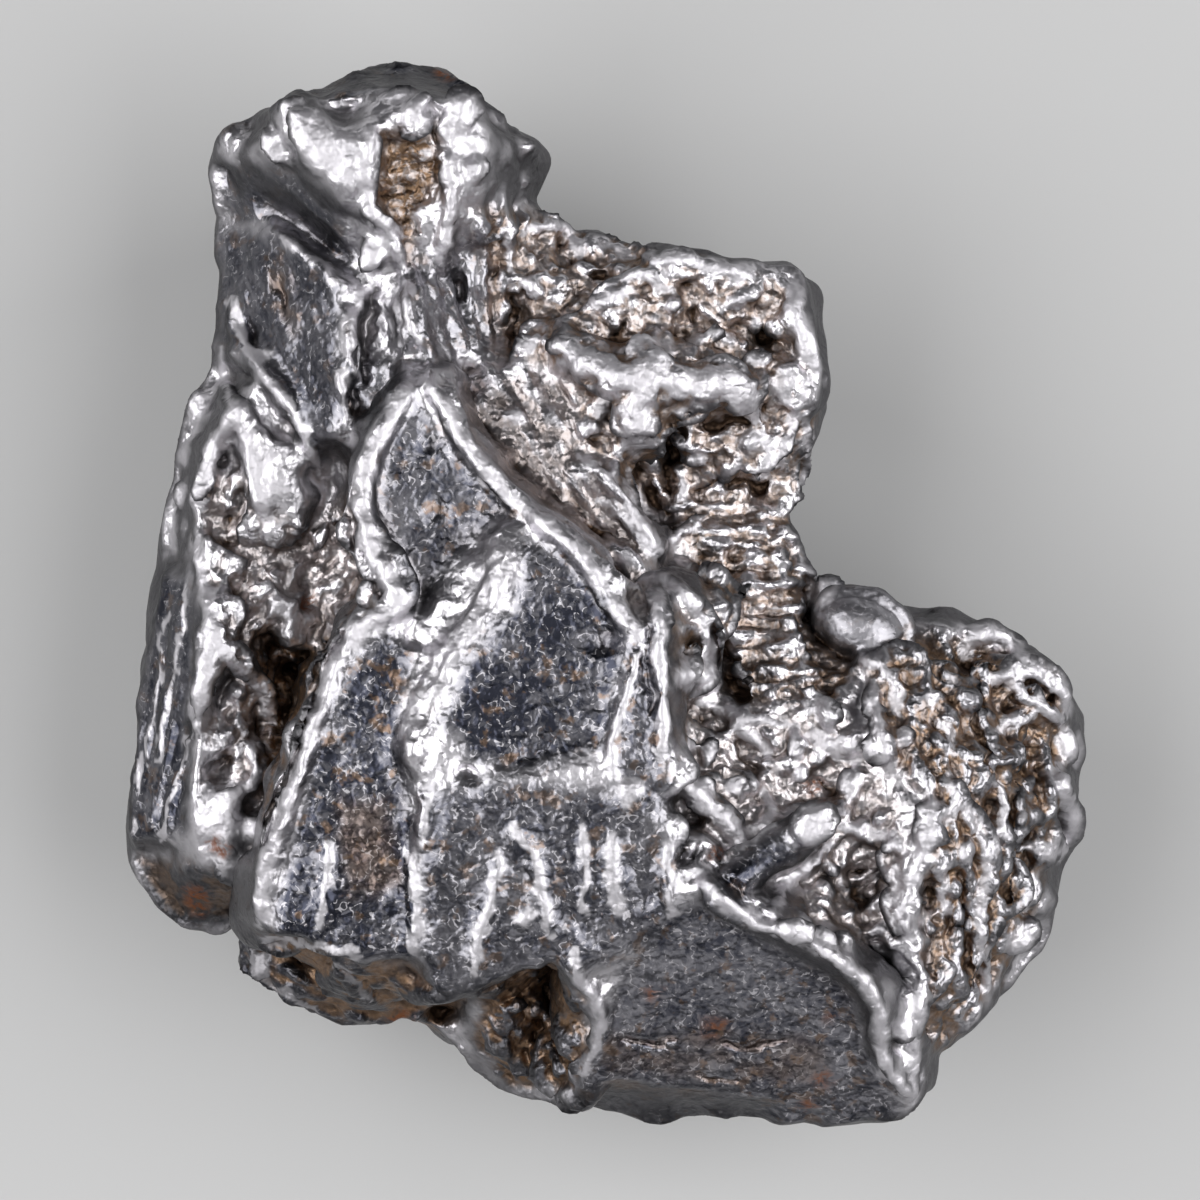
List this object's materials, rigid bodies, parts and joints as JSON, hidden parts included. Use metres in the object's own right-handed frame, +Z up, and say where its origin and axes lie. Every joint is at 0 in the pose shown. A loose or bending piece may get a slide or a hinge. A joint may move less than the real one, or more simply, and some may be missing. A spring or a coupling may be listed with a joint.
{
  "type": "iron meteorite",
  "caption": "Craggy natural nugget of bare nickel iron with a ridged, pitted upper face, a narrow head, a ribbed side block and a flat side that it rests on",
  "frame": {"origin": "On the surface it rests on, under the middle of its outline", "axes": "+Z up, out of the ridged face; +Y towards the narrow head; +X towards the ribbed block"},
  "size_m": [0.024, 0.0262, 0.0128],
  "materials": {
    "meteoritic_iron": "bare silvery nickel iron, bright on the crests, dark and finely hammered on the flat facets, brown patina in the pits"
  },
  "bodies": {
    "root": {"meteorite": "meteoritic_iron"}
  },
  "joints": []
}
